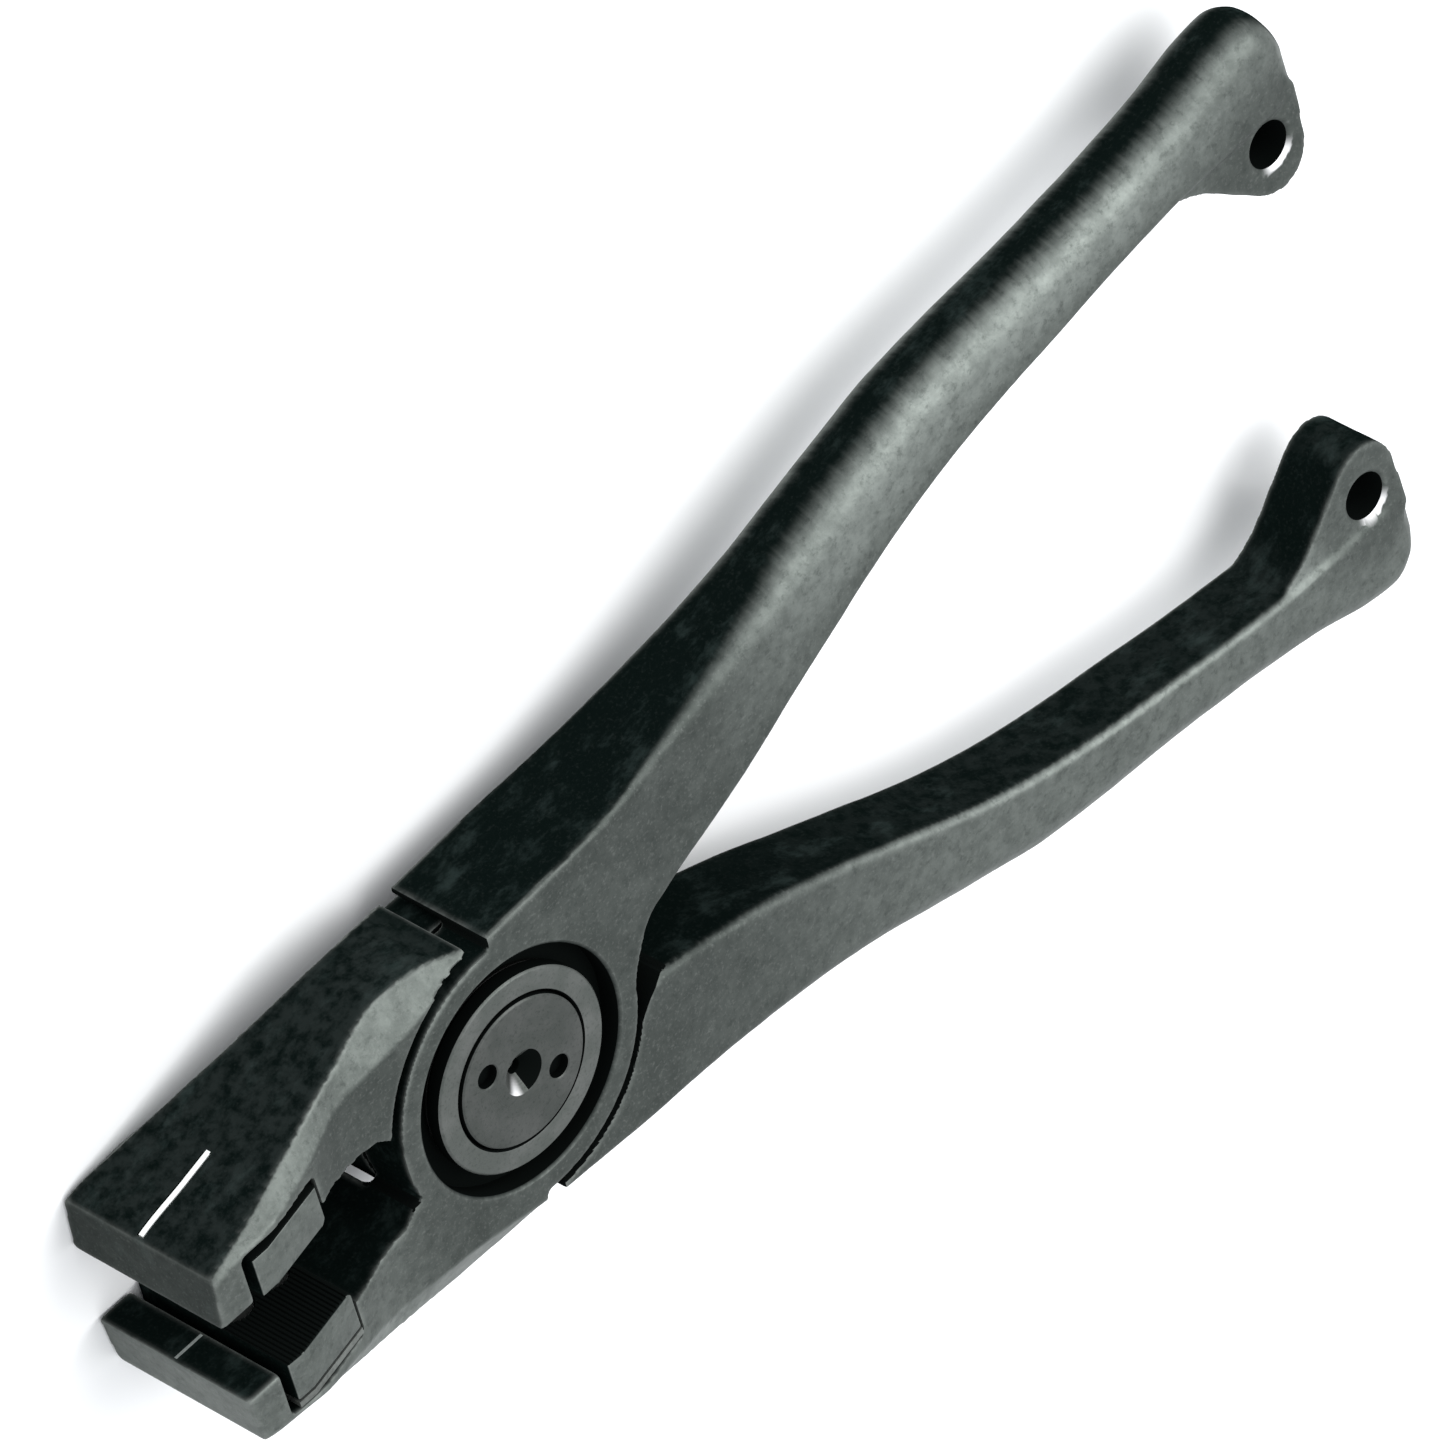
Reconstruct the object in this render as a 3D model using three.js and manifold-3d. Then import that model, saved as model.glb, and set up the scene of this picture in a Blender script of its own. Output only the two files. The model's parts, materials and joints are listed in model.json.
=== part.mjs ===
// Strap tensioning pliers: two forged levers that cross at a lap joint on one heavy pivot bolt.
// Millimetres. Z is the pivot axis. The tool lies on its side: the jaws point to -X, the
// handles to +X, and the upper jaw and the upper handle are on the +Y side.
// The two levers are one forging. lever_a has the upper jaw, the lower handle and the bottom
// half of the hub; lever_b is the same forging turned half a turn about X.

import * as THREE from "three";
import { ConvexGeometry } from "three/addons/geometries/ConvexGeometry.js";
import { mergeVertices } from "three/addons/utils/BufferGeometryUtils.js";
import Module from "manifold-3d";

const wasm = await Module();
wasm.setup();

// ---- driving dimensions ----
const JAW_WIDTH = 36.4; // along the pivot axis, at the lips
const HUB_THICK = 23.4; // both lap halves together
const HUB_R = 27.3;
const POCKET_R = 29.4; // the scallop that the other lever's hub half turns in
const HANDLE_POCKET_R = 28.4;
const LAP_GAP = 0.5; // between the two lap faces
const CLEAR = 0.35; // running and fitting gap between separate pieces

const JAW_TIP_X = -75.3;
const JAW_FRONT_SLANT = 1.1; // the lip edge stands ahead of the back edge
const LIP_Y = 8.6; // half the mouth, at the lips
const LIP_THICK = 7.7;
const THROAT_X = -47.3; // rear end of the insert
const THROAT_Y = 11.7;

const INSERT_FACE_Y = 8.2;
const INSERT_BACK_Y = 16.8;
const INSERT_LENGTH = 18.1;
const POCKET_ROOF_Y = 18.6;

const LUG_X = 204;
const LUG_Y = 41.6;
const LUG_HOLE_R = 4.5;
const LUG_THICK = 13.2;

// the pivot stack, heights from the lap plane
const HUB_FACE = HUB_THICK / 2;
const RECESS_R = 22.8;
const RECESS_FLOOR = 7;
const COLLAR_R = 18.9;
const COLLAR_BASE = 8.7;
const HEAD_R = 14;
const HEAD_BASE = 9.9;
const HEAD_TOP = 12.2;
const SHANK_R = 8;
const BUSH_R = 10;
const SHIM_R = 19.5;
const SHIM_THICK = 0.9;
const BOLT_SPANNER_R = 8.6; // pitch radius of the spanner holes
const NUT_SPANNER_R = 11.2;
const SPANNER_HOLE_R = 2.2;
const SPANNER_ANGLE = -0.61;
const DOWEL_X = -12.2;
const DOWEL_R = 1;
const LOCK_SCREW_R = 1.2;

// two screws in line on the jaw's centre plane
const SCREW_XS = [-60.9, -52.5];
const SCREW_SHANK_R = 1.9;
const SCREW_HEAD_R = 3.5;
const SCREW_HEAD_DEPTH = 0.8; // below the gripping face
const SCREW_CONE = 1.8;
const SCREW_TIP_Y = 20.6;

const MID_Z = JAW_WIDTH / 2; // height of the lap plane when the tool lies on the jaw sides
const PIVOT_X = -68.8; // puts the origin under the middle of the whole tool
const FAR = 60; // cutters reach past the part

// jaw of lever_a by station: x, bottom y, side half width, ridge y, top y, top half width
const JAW = [
  { x: JAW_TIP_X, low: LIP_Y, side: 17.7, ridge: 17.6, top: 18.6, crown: 16.6 },
  { x: JAW_TIP_X + 0.6, low: LIP_Y, side: MID_Z, ridge: 18, top: 19, crown: 17.2 },
  { x: -62, low: LIP_Y, side: MID_Z, ridge: 19.6, top: 22.3, crown: 15.2 },
  { x: -49, low: LIP_Y, side: 15.4, ridge: 21.2, top: 25.6, crown: 12.8 },
  { x: -34, low: LIP_Y, side: HUB_FACE, ridge: 24, top: 29.4, crown: 9.8 },
  { x: -20, low: 6, side: HUB_FACE, ridge: 25.6, top: 32.6, crown: 7.4 },
  { x: -12, low: 4, side: HUB_FACE, ridge: 26.8, top: 32.2, crown: 8 },
  { x: -2.4, low: 2, side: HUB_FACE, ridge: 28.6, top: 30.2, crown: 9.8 },
];

// handle by station: x, inner y, back y, half width, radius of the back corners
const HANDLE = [
  { x: 1.4, inner: 6, back: 30, half: HUB_FACE, round: 1 },
  { x: 20, inner: 6, back: 31.2, half: HUB_FACE, round: 1.2 },
  { x: 33, inner: 6.3, back: 32.3, half: 11.3, round: 1.8 },
  { x: 46, inner: 9.4, back: 34.6, half: 10.2, round: 2.6 },
  { x: 60, inner: 13.4, back: 37.6, half: 9.4, round: 4 },
  { x: 75, inner: 19.3, back: 41.8, half: 8.7, round: 6 },
  { x: 90, inner: 25.5, back: 47, half: 8.3, round: 8 },
  { x: 105, inner: 31.8, back: 51.2, half: 8.2, round: 8.1 },
  { x: 120, inner: 36.6, back: 54.8, half: 8.2, round: 8.1 },
  { x: 135, inner: 39.9, back: 56.4, half: 8.2, round: 8.1 },
  { x: 150, inner: 42.2, back: 57.5, half: 8.1, round: 8 },
  { x: 170, inner: 45.2, back: 59.8, half: 7.9, round: 7.6 },
  { x: 187, inner: 46.6, back: 62.7, half: 7.7, round: 7.4 },
  { x: 199, inner: 46.6, back: 66, half: 7.5, round: 7.2 },
  { x: 206, inner: 46.6, back: 66.9, half: 7.3, round: 7 },
  { x: 210.6, inner: 46.6, back: 64.6, half: 6.5, round: 6.2 },
  { x: 212.8, inner: 48.6, back: 60.6, half: 5, round: 4.8 },
];

const STEEL = { color: 0x39423d, roughness: 0.5, metalness: 0.75 };
const STEEL_DARK = { color: 0x2a302d, roughness: 0.55, metalness: 0.7 };
const STEEL_BRIGHT = { color: 0x8d938f, roughness: 0.35, metalness: 0.9 };
const BRONZE = { color: 0x9b7440, roughness: 0.4, metalness: 0.9 };
const ENAMEL = { color: 0xe8e8e2, roughness: 0.5, metalness: 0 };

// ---- helpers ----

function toSolid(geometry) {
  geometry.deleteAttribute("normal");
  geometry.deleteAttribute("uv");
  const merged = mergeVertices(geometry, 1e-5);
  const mesh = new wasm.Mesh({
    numProp: 3,
    vertProperties: new Float32Array(merged.attributes.position.array),
    triVerts: new Uint32Array(merged.index.array),
  });
  return new wasm.Manifold(mesh);
}

function toMesh(name, solid, finish) {
  const { vertProperties, triVerts } = solid.getMesh();
  const geometry = new THREE.BufferGeometry();
  geometry.setAttribute("position", new THREE.BufferAttribute(vertProperties, 3));
  geometry.setIndex(new THREE.BufferAttribute(triVerts, 1));
  geometry.translate(PIVOT_X, 0, MID_Z);
  geometry.computeVertexNormals();
  const mesh = new THREE.Mesh(geometry, new THREE.MeshStandardMaterial(finish));
  mesh.name = name;
  return mesh;
}

// A flat outline in XY, raised from z0 to z1.
function prism(outline, z0, z1, segments = 12) {
  const shape = outline instanceof THREE.Shape
    ? outline
    : new THREE.Shape(outline.map(([x, y]) => new THREE.Vector2(x, y)));
  const options = { depth: z1 - z0, bevelEnabled: false, curveSegments: segments };
  return toSolid(new THREE.ExtrudeGeometry(shape, options).translate(0, 0, z0));
}

function box([x0, y0, z0], [x1, y1, z1]) {
  const geometry = new THREE.BoxGeometry(x1 - x0, y1 - y0, z1 - z0);
  return toSolid(geometry.translate((x0 + x1) / 2, (y0 + y1) / 2, (z0 + z1) / 2));
}

// A solid turned about Z from [radius, z] points.
function turned(profile, segments = 36) {
  const closed = [...profile, profile[0]].map(([r, z]) => new THREE.Vector2(r, z));
  return toSolid(new THREE.LatheGeometry(closed, segments).rotateX(Math.PI / 2));
}

function disc(radius, z0, z1, segments = 36) {
  return turned([[0, z0], [radius, z0], [radius, z1], [0, z1]], segments);
}

function ring(inner, outer, z0, z1, segments = 36) {
  return turned([[inner, z0], [outer, z0], [outer, z1], [inner, z1]], segments);
}

// A round bar along Y, from y0 to y1.
function barY(radius, y0, y1, x, z, segments = 20) {
  const geometry = new THREE.CylinderGeometry(radius, radius, y1 - y0, segments);
  return toSolid(geometry.translate(x, (y0 + y1) / 2, z));
}

// Skin a row of convex sections: the hull of each pair of neighbours, joined.
function loft(sections) {
  let solid = null;
  for (let i = 0; i + 1 < sections.length; i += 1) {
    const span = toSolid(new ConvexGeometry([...sections[i], ...sections[i + 1]]));
    solid = solid ? solid.add(span) : span;
  }
  return solid;
}

// All that lies between two side faces, given by [x, half width] points.
function envelope(sides) {
  const outline = [...sides, ...sides.toReversed().map(([x, half]) => [x, -half])];
  return prism(outline.toReversed(), -FAR, FAR).rotate([90, 0, 0]);
}

const halfTurn = (solid) => solid.rotate([180, 0, 0]);

// ---- the levers ----

function jawSection({ x, low, side, ridge, top, crown }) {
  const half = [[low, side - 0.5], [low + 0.5, side], [ridge, side], [top, crown]];
  return [-1, 1].flatMap((s) => half.map(([y, z]) => new THREE.Vector3(x, y, s * z)));
}

// The inner face is flat with broken edges, the back corners are round.
function handleSection({ x, inner, back, half, round }) {
  const edge = Math.min(1.1, half / 5);
  const rim = [[inner, half - edge], [inner + edge, half]];
  const steps = 4;
  for (let i = 0; i <= steps; i += 1) {
    const a = (i / steps) * (Math.PI / 2);
    rim.push([back - round + round * Math.sin(a), half - round + round * Math.cos(a)]);
  }
  return [-1, 1].flatMap((s) => rim.map(([y, z]) => new THREE.Vector3(x, -y, s * z)));
}

// The ear at the handle's end, drawn for the handle on the +Y side.
function lugOutline() {
  const shape = new THREE.Shape();
  shape.moveTo(179, 50);
  shape.lineTo(182.4, 46);
  shape.quadraticCurveTo(186.6, 44.6, 190, 41.6);
  shape.lineTo(199.8, 33);
  shape.quadraticCurveTo(204.6, 29.7, 208.8, 32.4);
  shape.quadraticCurveTo(211.2, 34.4, 211.9, 38);
  shape.lineTo(212.7, 49);
  shape.lineTo(210, 54);
  shape.lineTo(190, 54);
  shape.closePath();
  return shape;
}

function lug() {
  const half = LUG_THICK / 2;
  const hole = disc(LUG_HOLE_R, -FAR, FAR, 32).translate([LUG_X, LUG_Y, 0]);
  return prism(lugOutline(), -half, half, 6).subtract(hole).rotate([180, 0, 0]);
}

// Web that blends the handle's inner face into the hub's own lap half.
function neck(lapFace) {
  const shape = new THREE.Shape();
  shape.moveTo(20, -14);
  shape.lineTo(20, 14);
  shape.lineTo(24.4, 12.2);
  shape.quadraticCurveTo(27.6, -1.5, 34.4, -6.4);
  shape.quadraticCurveTo(38.5, -9.2, 46, -11);
  shape.lineTo(40, -14);
  shape.closePath();
  const sides = HANDLE.slice(0, 5).map(({ x, half }) => [x, half - 0.02]);
  return prism(shape, -HUB_FACE, lapFace, 6).intersect(envelope(sides));
}

// Pocket for the insert, open to both sides, with room in front of and behind the insert's back.
function insertPocket() {
  const lipBack = JAW_TIP_X + LIP_THICK;
  return box([lipBack, 0, -FAR], [THROAT_X, POCKET_ROOF_Y, FAR]);
}

// What the slanted front face takes off the jaw.
function jawFront() {
  const top = 20.6;
  return prism([[-90, top], [JAW_TIP_X + JAW_FRONT_SLANT + 0.2, top], [JAW_TIP_X, LIP_Y - 1],
    [-90, LIP_Y - 1]], -FAR, FAR);
}

function throat() {
  return prism([[THROAT_X - 1, 0], [THROAT_X - 1, THROAT_Y], [-43, 12], [-31, 10.3],
    [-26, 6], [-26, 0]], -FAR, FAR);
}

function indexGroove(grow) {
  const start = -73.2;
  const end = -55.6;
  const slope = Math.atan2(3.1, 12.2);
  const line = box([-grow, -0.5 - grow, -0.75 - grow], [end - start + grow, 5, 0.75 + grow]);
  return line.rotate([0, 0, THREE.MathUtils.radToDeg(slope)]).translate([start, 19.35, 0]);
}

function screwHoles() {
  const holes = SCREW_XS.map((x) => {
    return barY(SCREW_SHANK_R + CLEAR, 0, SCREW_TIP_Y + CLEAR, x, 0);
  });
  return holes[0].add(holes[1]);
}

// Everything the pivot stack needs in lever_a's bottom lap half.
function hubBores() {
  const bore = disc(BUSH_R + CLEAR, -FAR, FAR);
  const recess = disc(RECESS_R, -FAR, -RECESS_FLOOR, 64);
  const shimSeat = ring(BUSH_R - 1, SHIM_R + CLEAR, -SHIM_THICK / 2 - CLEAR, FAR);
  return bore.add(recess).add(shimSeat);
}

// Rounds the corner where the handle's inner face meets its hub pocket.
function corner(lapFace) {
  const shape = new THREE.Shape();
  shape.moveTo(20, -5);
  shape.lineTo(34.5, -5);
  shape.lineTo(34.5, -6.3);
  shape.quadraticCurveTo(28.3, -7, 25.2, -13.2);
  shape.lineTo(20, -13.2);
  shape.closePath();
  return prism(shape, lapFace, FAR, 6);
}

function lever() {
  const lapFace = -LAP_GAP / 2;
  const bar = loft(JAW.map(jawSection));
  const front = bar.subtract(jawFront()).subtract(insertPocket()).subtract(throat());
  const jaw = front.subtract(disc(POCKET_R, lapFace, FAR, 96));
  const arm = loft(HANDLE.map(handleSection)).add(lug());
  const handle = arm.subtract(disc(HANDLE_POCKET_R, lapFace, FAR, 96)).subtract(corner(lapFace));
  const hub = disc(HUB_R, -HUB_FACE, lapFace, 96);
  const forging = jaw.add(handle).add(hub).add(neck(lapFace)).subtract(hubBores());
  return forging.subtract(screwHoles());
}

// ---- inserts and their fastenings, for the upper jaw ----

function insertSides() {
  const rear = THROAT_X - CLEAR;
  return [[rear - INSERT_LENGTH, MID_Z - 0.1], [-62, MID_Z - 0.1], [rear, 15.05]];
}

function insert() {
  const front = THROAT_X - CLEAR - INSERT_LENGTH;
  const rear = THROAT_X - CLEAR;
  const outline = [[front, INSERT_FACE_Y], [rear - 1, INSERT_FACE_Y],
    [rear, INSERT_FACE_Y + 1], [rear, INSERT_BACK_Y], [front, INSERT_BACK_Y]];
  let solid = prism(outline, -FAR, FAR).intersect(envelope(insertSides()));
  for (const x of SCREW_XS) {
    solid = solid.subtract(screw(x, CLEAR + 0.07));
  }
  return teeth(solid);
}

// Cross grooves in the gripping face.
function teeth(solid) {
  const front = THROAT_X - CLEAR - INSERT_LENGTH;
  let cut = solid;
  for (const offset of [1.6, 3.4, 14.2, 16]) {
    const x = front + offset;
    const groove = prism([[x - 0.5, INSERT_FACE_Y - 0.1], [x + 0.5, INSERT_FACE_Y - 0.1],
      [x, INSERT_FACE_Y + 0.5]], -FAR, FAR);
    cut = cut.subtract(groove);
  }
  return cut;
}

// Countersunk screw put in from the gripping face. grow makes its clearance.
function screw(x, grow = 0) {
  const headTop = INSERT_FACE_Y + SCREW_HEAD_DEPTH;
  const shank = SCREW_SHANK_R + grow;
  const head = SCREW_HEAD_R + grow;
  const cone = new THREE.CylinderGeometry(shank, head, SCREW_CONE, 24);
  let solid = toSolid(cone.translate(x, headTop + SCREW_CONE / 2, 0));
  solid = solid.add(barY(shank, headTop + SCREW_CONE / 2, SCREW_TIP_Y + grow, x, 0));
  if (grow > 0) {
    return solid.add(barY(head, 0, headTop + 0.1, x, 0, 24));
  }
  return solid.subtract(barY(1.3, 0, headTop + 1.6, x, 0, 6));
}

// Packing plate between the insert's back and the pocket's roof.
function packing(half) {
  const rear = THROAT_X - CLEAR;
  const y0 = INSERT_BACK_Y + 0.32;
  const y1 = POCKET_ROOF_Y - 0.32;
  const bar = box([rear - INSERT_LENGTH, y0, -half], [rear, y1, half]);
  let plate = bar.intersect(envelope(insertSides()));
  for (const x of SCREW_XS) {
    plate = plate.subtract(barY(SCREW_SHANK_R + CLEAR, 0, FAR, x, 0));
  }
  return plate;
}

// ---- pivot stack, drawn for the top (+Z) side ----

function spannerHoles(pitch, base) {
  const x = pitch * Math.cos(SPANNER_ANGLE);
  const y = pitch * Math.sin(SPANNER_ANGLE);
  const hole = disc(SPANNER_HOLE_R, base, FAR, 24);
  return hole.translate([x, y, 0]).add(hole.translate([-x, -y, 0]));
}

function lockScrewHole() {
  return disc(LOCK_SCREW_R + 0.3, -FAR, -HEAD_BASE + 0.5, 20).translate([SHANK_R + 0.15, 0, 0]);
}

function dowel(grow = 0) {
  return disc(DOWEL_R + grow, 4.6 - grow, 11.1 + grow, 20).translate([DOWEL_X, 0, 0]);
}

function pivotBolt() {
  const body = turned([[0, -HEAD_TOP + 0.6], [SHANK_R - 0.8, -HEAD_TOP + 0.6],
    [SHANK_R, -HEAD_TOP + 1.4], [SHANK_R, HEAD_BASE], [HEAD_R, HEAD_BASE],
    [HEAD_R, HEAD_TOP - 0.4], [HEAD_R - 0.4, HEAD_TOP], [4.2, HEAD_TOP],
    [1.3, HEAD_TOP - 2.6], [1.3, HEAD_TOP - 4], [0, HEAD_TOP - 4.6]], 48);
  const drilled = body.subtract(spannerHoles(BOLT_SPANNER_R, HEAD_TOP - 1.9)).subtract(dowel(CLEAR));
  return drilled.subtract(lockScrewHole());
}

function pivotNut() {
  const body = ring(SHANK_R + CLEAR, HEAD_R, HEAD_BASE, HEAD_TOP, 48);
  const holes = spannerHoles(NUT_SPANNER_R, HEAD_TOP - 1.9).rotate([0, 0, 90]);
  return halfTurn(body.subtract(holes)).subtract(lockScrewHole());
}

// Stepped collar that the bolt head or the nut sinks into.
function collar() {
  const seat = HEAD_BASE - 0.3;
  return turned([[SHANK_R + CLEAR, COLLAR_BASE], [COLLAR_R, COLLAR_BASE],
    [COLLAR_R, HUB_FACE - 0.4], [COLLAR_R - 0.4, HUB_FACE], [HEAD_R + CLEAR, HUB_FACE],
    [HEAD_R + CLEAR, seat], [SHANK_R + CLEAR, seat]], 64);
}

// Conical spring washer under the collar.
function springWasher() {
  const base = RECESS_FLOOR + 0.3;
  return turned([[14.4, base + 0.4], [18.4, base], [18.4, base + 0.6], [14.4, base + 1]]);
}

function bush() {
  return ring(SHANK_R + CLEAR, BUSH_R, SHIM_THICK / 2 + 0.3, RECESS_FLOOR - 0.2);
}

function lockScrew() {
  return disc(LOCK_SCREW_R, -HEAD_TOP, -HEAD_BASE, 20).translate([SHANK_R + 0.15, 0, 0]);
}

// ---- assembly ----

function build() {
  const group = new THREE.Group();
  group.name = "strap_tensioning_pliers";
  const put = (name, solid, finish) => group.add(toMesh(name, solid, finish));

  const forging = lever();
  const marked = forging.subtract(indexGroove(0.3));
  put("lever_a_upper_jaw", marked, STEEL);
  put("lever_b_lower_jaw", halfTurn(forging).subtract(dowel(CLEAR)), STEEL);
  put("index_line_inlay", indexGroove(0).intersect(loft(JAW.map(jawSection))), ENAMEL);

  for (const [jaw, place, half] of [["upper", (s) => s, 13], ["lower", halfTurn, FAR]]) {
    put(`${jaw}_grip_insert`, place(insert()), STEEL_DARK);
    put(`${jaw}_insert_packing`, place(packing(half)), STEEL_DARK);
    put(`${jaw}_insert_screw_front`, place(screw(SCREW_XS[0])), STEEL_DARK);
    put(`${jaw}_insert_screw_rear`, place(screw(SCREW_XS[1])), STEEL_DARK);
  }

  put("pivot_bolt", pivotBolt(), STEEL);
  put("pivot_nut", pivotNut(), STEEL);
  put("near_collar", collar().subtract(dowel(CLEAR)), STEEL);
  put("far_collar", halfTurn(collar()), STEEL);
  put("near_spring_washer", springWasher(), STEEL_BRIGHT);
  put("far_spring_washer", halfTurn(springWasher()), STEEL_BRIGHT);
  put("near_pivot_bush", bush(), BRONZE);
  put("far_pivot_bush", halfTurn(bush()), BRONZE);
  put("lap_thrust_washer", ring(BUSH_R, SHIM_R, -SHIM_THICK / 2, SHIM_THICK / 2), BRONZE);
  put("bolt_dowel", dowel(), STEEL_BRIGHT);
  put("nut_lock_screw", lockScrew(), STEEL_DARK);
  return group;
}

export default build();
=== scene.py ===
"""Looks for the strap tensioning pliers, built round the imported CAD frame.

Lengths in the shape code are millimetres from the pivot axis and the lap plane, as in the CAD
source; finish_mesh() turns them into metres in the row frame.
"""

import json
import math

import bmesh
import bpy
import numpy as np
from mathutils import Matrix, Vector, noise


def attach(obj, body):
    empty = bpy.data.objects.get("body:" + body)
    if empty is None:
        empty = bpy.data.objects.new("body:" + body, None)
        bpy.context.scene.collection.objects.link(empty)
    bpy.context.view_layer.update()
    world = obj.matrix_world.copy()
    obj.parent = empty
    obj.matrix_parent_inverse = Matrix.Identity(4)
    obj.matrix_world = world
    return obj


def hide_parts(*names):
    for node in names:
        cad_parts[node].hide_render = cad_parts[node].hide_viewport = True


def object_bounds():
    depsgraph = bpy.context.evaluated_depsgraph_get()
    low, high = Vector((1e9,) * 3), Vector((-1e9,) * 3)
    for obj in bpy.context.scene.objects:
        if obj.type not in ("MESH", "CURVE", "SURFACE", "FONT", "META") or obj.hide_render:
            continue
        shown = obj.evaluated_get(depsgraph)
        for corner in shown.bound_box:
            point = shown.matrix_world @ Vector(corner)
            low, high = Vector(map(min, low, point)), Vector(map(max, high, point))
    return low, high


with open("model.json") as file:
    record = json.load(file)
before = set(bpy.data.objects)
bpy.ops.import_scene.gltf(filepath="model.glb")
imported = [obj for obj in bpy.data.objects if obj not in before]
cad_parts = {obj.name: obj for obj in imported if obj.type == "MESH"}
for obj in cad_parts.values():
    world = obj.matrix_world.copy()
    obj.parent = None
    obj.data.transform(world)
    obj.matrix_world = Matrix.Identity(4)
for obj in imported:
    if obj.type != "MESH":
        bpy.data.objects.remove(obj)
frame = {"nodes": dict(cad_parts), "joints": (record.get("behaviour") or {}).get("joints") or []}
cad_box = [list(corner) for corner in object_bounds()]

MM = 0.001
PIVOT = Vector(frame["joints"][0]["pos_m"])
UPPER, LOWER = "lever_a", "lever_b"  # bodies, named by their jaw

# ---- sizes, as packed ----
JAW_WIDTH = round((cad_box[1][2] - cad_box[0][2]) / MM, 3)
MID = JAW_WIDTH / 2
HUB_FACE = 11.7
HUB_R = 27.3
POCKET_R = 29.4
HANDLE_POCKET_R = 28.4
LAP_FACE = -0.25
CLEAR = 0.35
JAW_TIP_X = -75.3
JAW_FRONT_SLANT = 1.1
LIP_Y = 8.6
LIP_THICK = 7.7
THROAT_X = -47.3
INSERT_FACE_Y = 8.2
INSERT_BACK_Y = 16.8
INSERT_LENGTH = 18.1
POCKET_ROOF_Y = 18.6
LUG_X, LUG_Y, LUG_HOLE_R, LUG_HALF = 204, 41.6, 4.5, 6.6
RECESS_R, RECESS_FLOOR = 22.8, 7
COLLAR_R, COLLAR_BASE = 18.9, 8.7
HEAD_R, HEAD_BASE, HEAD_TOP = 14, 9.9, 12.2
SHANK_R, BUSH_R = 8, 10
SHIM_R, SHIM_THICK = 19.5, 0.9
BOLT_SPANNER_R, NUT_SPANNER_R, SPANNER_HOLE_R, SPANNER_ANGLE = 8.6, 11.2, 2.2, -0.61
LOCK_SCREW_R = 1.2
SINK_R, CENTRE_DRILL_R, SINK_DEPTH = 4.2, 1.3, 2.6
SINK_HIGHLIGHT_ANGLE, SHADE_ANGLE = -2.33, -0.3  # where the countersink gets a painted highlight, and painted shade
SCREW_XS = {"front": -60.9, "rear": -52.5}
SCREW_SHANK_R, SCREW_HEAD_R, SCREW_CONE, SCREW_TIP_Y = 1.9, 3.5, 1.8, 20.6
SCREW_HEAD_Y, SOCKET_R = INSERT_FACE_Y + 0.8, 1.3
FAR = 60  # past the edge of everything that is cut
RECUT = 0.12  # how far outside the softened face a second cut runs
HUB_SEGMENTS, RECUT_SEGMENTS = 192, 240
MACHINED_X, MACHINED_HALF = -60, 15  # the flat stretch of the jaw, round its insert

# x, bottom, side half width, ridge, top, top half width
JAW = np.array([
    (JAW_TIP_X, LIP_Y, 17.7, 17.6, 18.6, 16.6),
    (JAW_TIP_X + 0.6, LIP_Y, MID, 18, 19, 17.2),
    (-62, LIP_Y, MID, 19.6, 22.3, 15.2),
    (-49, LIP_Y, 15.4, 21.2, 25.6, 12.8),
    (-34, LIP_Y, HUB_FACE, 24, 29.4, 9.8),
    (-20, 6, HUB_FACE, 25.6, 32.6, 7.4),
    (-12, 4, HUB_FACE, 26.8, 32.2, 8),
    (-2.4, 2, HUB_FACE, 28.6, 30.2, 9.8),
])

# x, inner face, back, half width, radius of the back corners
HANDLE = np.array([
    (1.4, 6, 30, HUB_FACE, 1),
    (20, 6, 31.2, HUB_FACE, 1.2),
    (33, 6.3, 32.3, 11.3, 1.8),
    (46, 9.4, 34.6, 10.2, 2.6),
    (60, 13.4, 37.6, 9.4, 4),
    (75, 19.3, 41.8, 8.7, 6),
    (90, 25.5, 47, 8.3, 8),
    (105, 31.8, 51.2, 8.2, 8.1),
    (120, 36.6, 54.8, 8.2, 8.1),
    (135, 39.9, 56.4, 8.2, 8.1),
    (150, 42.2, 57.5, 8.1, 8),
    (170, 45.2, 59.8, 7.9, 7.6),
    (187, 46.6, 62.7, 7.7, 7.4),
    (199, 46.6, 66, 7.5, 7.2),
    (206, 46.6, 66.9, 7.3, 7),
    (210.6, 46.6, 64.6, 6.5, 6.2),
    (212.8, 48.6, 60.6, 5, 4.8),
])


# ---- mesh helpers ----

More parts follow.
